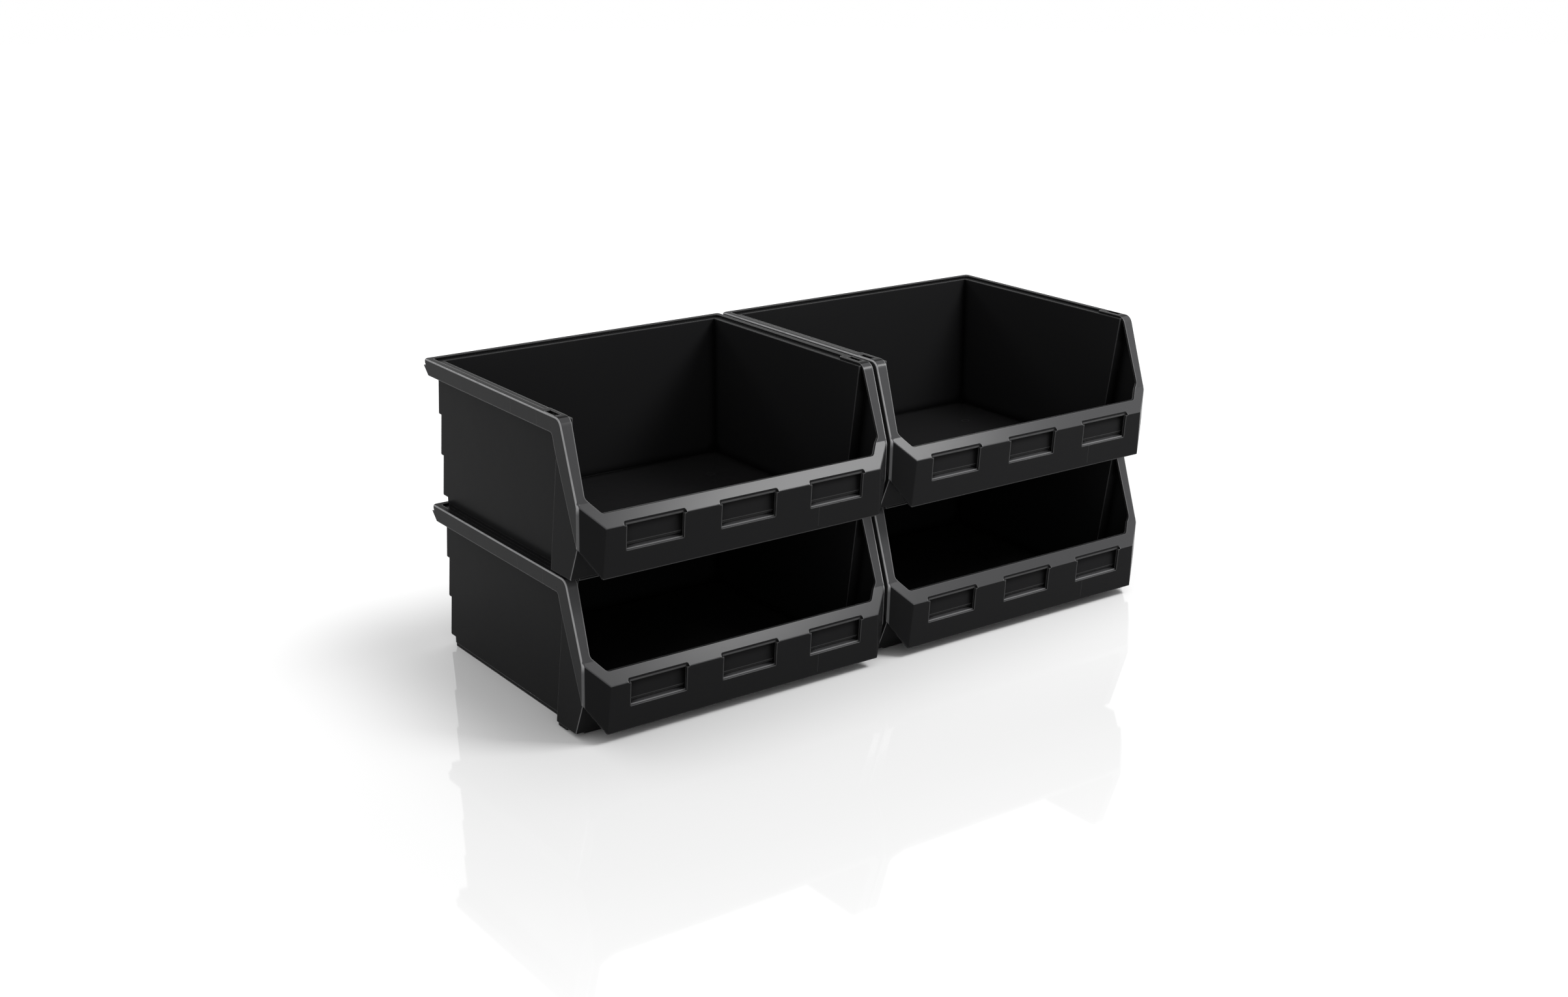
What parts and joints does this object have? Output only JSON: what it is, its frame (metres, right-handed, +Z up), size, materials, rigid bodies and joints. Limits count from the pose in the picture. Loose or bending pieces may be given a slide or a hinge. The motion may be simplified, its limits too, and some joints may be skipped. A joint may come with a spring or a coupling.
{
  "type": "stacking open-front storage bin",
  "caption": "Stacking open-front storage bins with inset tub walls, sloping hopper mouths, front label pockets, and ledged rims whose notches lock the feet of the bin above.",
  "frame": {"origin": "bottom centre of the whole stacked block, on the surface it stands on", "axes": "+X across the bins to the right, -Y toward the open fronts, +Z up"},
  "size_m": [0.843, 0.3749, 0.3655],
  "materials": {
    "black_polypropylene": "satin"
  },
  "bodies": {
    "lower_left_bin": {"lower_left_bin": "black_polypropylene"},
    "lower_right_bin": {"lower_right_bin": "black_polypropylene"},
    "upper_left_bin": {"upper_left_bin": "black_polypropylene"},
    "upper_right_bin": {"upper_right_bin": "black_polypropylene"}
  },
  "joints": [
    {"name": "upper_left_lift", "type": "slide", "parent": "lower_left_bin", "child": "upper_left_bin", "axis": [0, 0, 1], "range_m": [0, 0.22]},
    {"name": "right_column_slide", "type": "slide", "parent": "lower_left_bin", "child": "lower_right_bin", "axis": [1, 0, 0], "range_m": [0, 0.15]},
    {"name": "upper_right_lift", "type": "slide", "parent": "lower_right_bin", "child": "upper_right_bin", "axis": [0, 0, 1], "range_m": [0, 0.22]}
  ]
}
